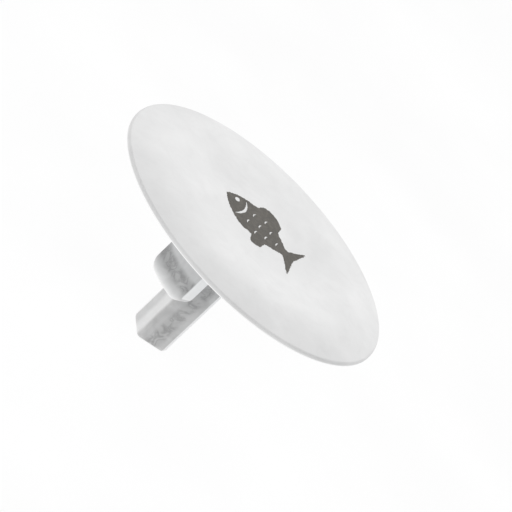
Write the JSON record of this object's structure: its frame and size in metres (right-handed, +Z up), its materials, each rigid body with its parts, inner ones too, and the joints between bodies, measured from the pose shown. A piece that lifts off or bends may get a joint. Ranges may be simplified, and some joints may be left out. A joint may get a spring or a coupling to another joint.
{
  "type": "ice fishing tip up",
  "caption": "Round hole-cover tip-up: shallow dished lid that tips up on a hinge, trip shaft in a square post, line spool in a boss.",
  "frame": {"origin": "on the cover's axis, in the plane where the gasket's face rests on the ice", "axes": "+Z up through the lid, +Y towards the lid's hinge, the square post's faces along X and Y"},
  "size_m": [0.254, 0.2539, 0.1322],
  "materials": {
    "white_plastic": "satin moulded",
    "post_plastic": "satin moulded, faint mottling",
    "gasket_rubber": "matt",
    "foam": "closed-cell foam",
    "signal_orange": "bright, semi-gloss",
    "steel": "stainless",
    "brass": "turned",
    "bearing_plastic": "natural acetal",
    "black_plastic": "moulded",
    "line_green": "braided line",
    "print_ink": "stamped ink"
  },
  "bodies": {
    "root": {"base_plate": "white_plastic", "ice_gasket": "gasket_rubber", "lid_seal": "gasket_rubber", "insulation_pad": "foam", "hinge_pin": "steel", "hinge_spring": "steel", "post_tube": "post_plastic", "post_screws": "steel", "upper_bushing": "bearing_plastic", "lower_bushing": "bearing_plastic", "shaft_seal": "gasket_rubber", "spool_housing": "post_plastic", "housing_back": "post_plastic", "housing_screws": "steel", "spool_axle": "steel", "axle_spacer": "bearing_plastic", "thrust_washer": "steel", "line_eyelet": "brass"},
    "lid": {"lid_shell": "white_plastic", "lid_foam": "foam", "signal_liner": "signal_orange", "liner_screws": "steel", "catch_keeper": "black_plastic", "keeper_screws": "steel"},
    "trip": {"trip_shaft": "steel", "shaft_clip": "steel", "trip_bar": "black_plastic", "trip_collar": "brass", "trip_finger": "steel"},
    "spool": {"line_spool": "black_plastic", "wound_line": "line_green"}
  },
  "joints": [
    {"name": "lid_tip", "type": "hinge", "parent": "root", "child": "lid", "pos_m": [0, 0.121, 0.0046], "axis": [-1, 0, 0], "range_deg": [0, 60]},
    {"name": "trip_turn", "type": "hinge", "parent": "root", "child": "trip", "pos_m": [0, 0, 0], "axis": [0, 0, -1], "range_deg": [0, 60]},
    {"name": "spool_spin", "type": "hinge", "parent": "root", "child": "spool", "pos_m": [-0.03, -0.01803, -0.0428], "axis": [-0.8572, -0.515, 0], "continuous": true}
  ]
}
